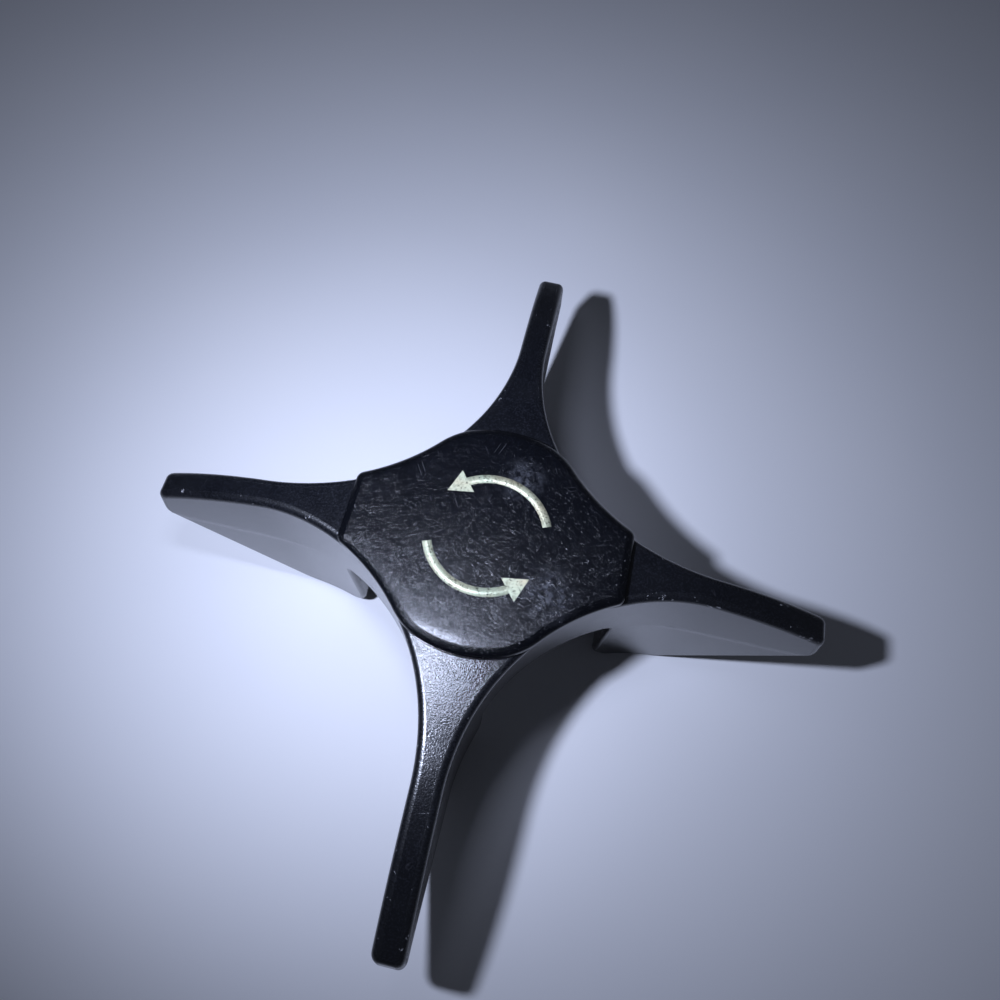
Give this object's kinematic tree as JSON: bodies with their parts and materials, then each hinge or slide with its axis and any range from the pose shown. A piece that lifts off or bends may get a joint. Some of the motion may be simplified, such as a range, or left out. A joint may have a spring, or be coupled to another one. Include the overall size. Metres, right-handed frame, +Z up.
{
  "type": "champagne opener",
  "caption": "Four-armed star grip with a round ribbed socket that fits over a sparkling-wine cork, so that the cork can be twisted loose by hand.",
  "frame": {"origin": "on the hub's axis, in the plane of the four feet that the arms stand on", "axes": "+Z up along the hub's axis, +X along the right arm, -Y along the front arm"},
  "size_m": [0.1148, 0.12, 0.043],
  "materials": {
    "body_plastic": "fine-grained satin moulding, edges worn smooth",
    "cap_plastic": "gloss with fine hairline scratches and a worn lower edge"
  },
  "bodies": {
    "root": {"cap_plate": "cap_plastic", "hub_shell": "body_plastic", "arm_left": "body_plastic", "arm_right": "body_plastic", "cork_rib_rear_right": "body_plastic", "cork_rib_rear_left": "body_plastic", "cork_rib_front_left": "body_plastic", "cork_rib_front_right": "body_plastic"},
    "front_arm": {"arm_front": "body_plastic"},
    "rear_arm": {"arm_rear": "body_plastic"}
  },
  "joints": [
    {"name": "front_arm_flex", "type": "hinge", "parent": "root", "child": "front_arm", "pos_m": [0, 0, 0.033], "axis": [0, 0, 1], "range_deg": [-4, 4], "stiffness_Nm_per_rad": 15},
    {"name": "rear_arm_flex", "type": "hinge", "parent": "root", "child": "rear_arm", "pos_m": [0, 0, 0.033], "axis": [0, 0, 1], "range_deg": [-4, 4], "stiffness_Nm_per_rad": 15}
  ]
}
